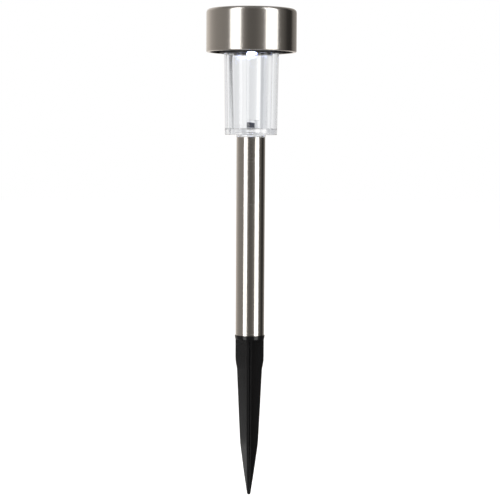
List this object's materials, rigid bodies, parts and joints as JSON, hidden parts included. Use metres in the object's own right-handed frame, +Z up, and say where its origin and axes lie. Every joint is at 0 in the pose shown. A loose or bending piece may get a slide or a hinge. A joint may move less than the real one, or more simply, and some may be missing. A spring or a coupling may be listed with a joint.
{
  "type": "solar garden light",
  "caption": "Solar garden light on a ground spike: steel-capped head with a solar panel on top and a switch below, clear ribbed lens, slim steel pole and a finned stake.",
  "frame": {"origin": "on the light's axis at the ground line: the top face of the stake's rim, where the pole stands", "axes": "+Z up along the pole, towards the solar panel; -Y towards the side that holds the slide switch; +X towards the battery's positive end"},
  "size_m": [0.0548, 0.0548, 0.2973],
  "materials": {
    "stainless_steel": "satin, brushed round the axis",
    "stake_plastic": "injection moulded, half gloss",
    "head_plastic": "injection moulded, fine spark texture",
    "clear_plastic": "clear polystyrene, polished",
    "panel_epoxy": "clear poured epoxy, slightly domed gloss",
    "silicon_cell": "dark blue cells with printed silver lines",
    "green_laminate": "glass-fibre laminate with solder resist",
    "foam_tape": "closed-cell foam",
    "zinc_steel": "zinc-plated steel",
    "tinned_metal": "tinned",
    "nickel_strip": "nickel-plated spring steel",
    "chip_epoxy": "moulded epoxy",
    "choke_body": "lacquered",
    "led_epoxy": "clear epoxy, lit cool white",
    "cell_can": "nickel-plated can",
    "cell_sleeve": "heat-shrunk sleeve",
    "knob_plastic": "moulded",
    "wire_red": "extruded insulation",
    "wire_black": "extruded insulation"
  },
  "bodies": {
    "stake": {"ground_stake": "stake_plastic"},
    "pole": {"pole_tube": "stainless_steel"},
    "lens": {"lens": "clear_plastic"},
    "head": {"cap": "stainless_steel", "panel_gasket": "foam_tape", "panel_glaze": "panel_epoxy", "solar_cells": "silicon_cell", "panel_board": "green_laminate", "housing": "head_plastic", "base_cover": "head_plastic", "cover_screws": "zinc_steel", "switch_case": "zinc_steel", "switch_terminals": "tinned_metal", "circuit_board": "green_laminate", "control_chip": "chip_epoxy", "chip_legs": "tinned_metal", "choke_coil": "choke_body", "choke_leads": "tinned_metal", "led_lamp": "led_epoxy", "led_leads": "tinned_metal", "battery_cell": "cell_can", "battery_sleeve": "cell_sleeve", "battery_spring": "nickel_strip", "contact_plus": "nickel_strip", "contact_minus": "nickel_strip", "panel_wire_red": "wire_red", "panel_wire_black": "wire_black", "battery_wire_red": "wire_red", "battery_wire_black": "wire_black"},
    "switch": {"switch_knob": "knob_plastic"}
  },
  "joints": [
    {"name": "tube_pull", "type": "slide", "parent": "stake", "child": "pole", "axis": [0, 0, 1], "range_m": [0, 0.03]},
    {"name": "lens_pull", "type": "slide", "parent": "pole", "child": "lens", "axis": [0, 0, 1], "range_m": [0, 0.03]},
    {"name": "head_twist", "type": "hinge", "parent": "lens", "child": "head", "pos_m": [0, 0, 0.1723], "axis": [0, 0, 1], "range_deg": [0, 24]},
    {"name": "switch_slide", "type": "slide", "parent": "head", "child": "switch", "axis": [1, 0, 0], "range_m": [0, 0.002]}
  ]
}
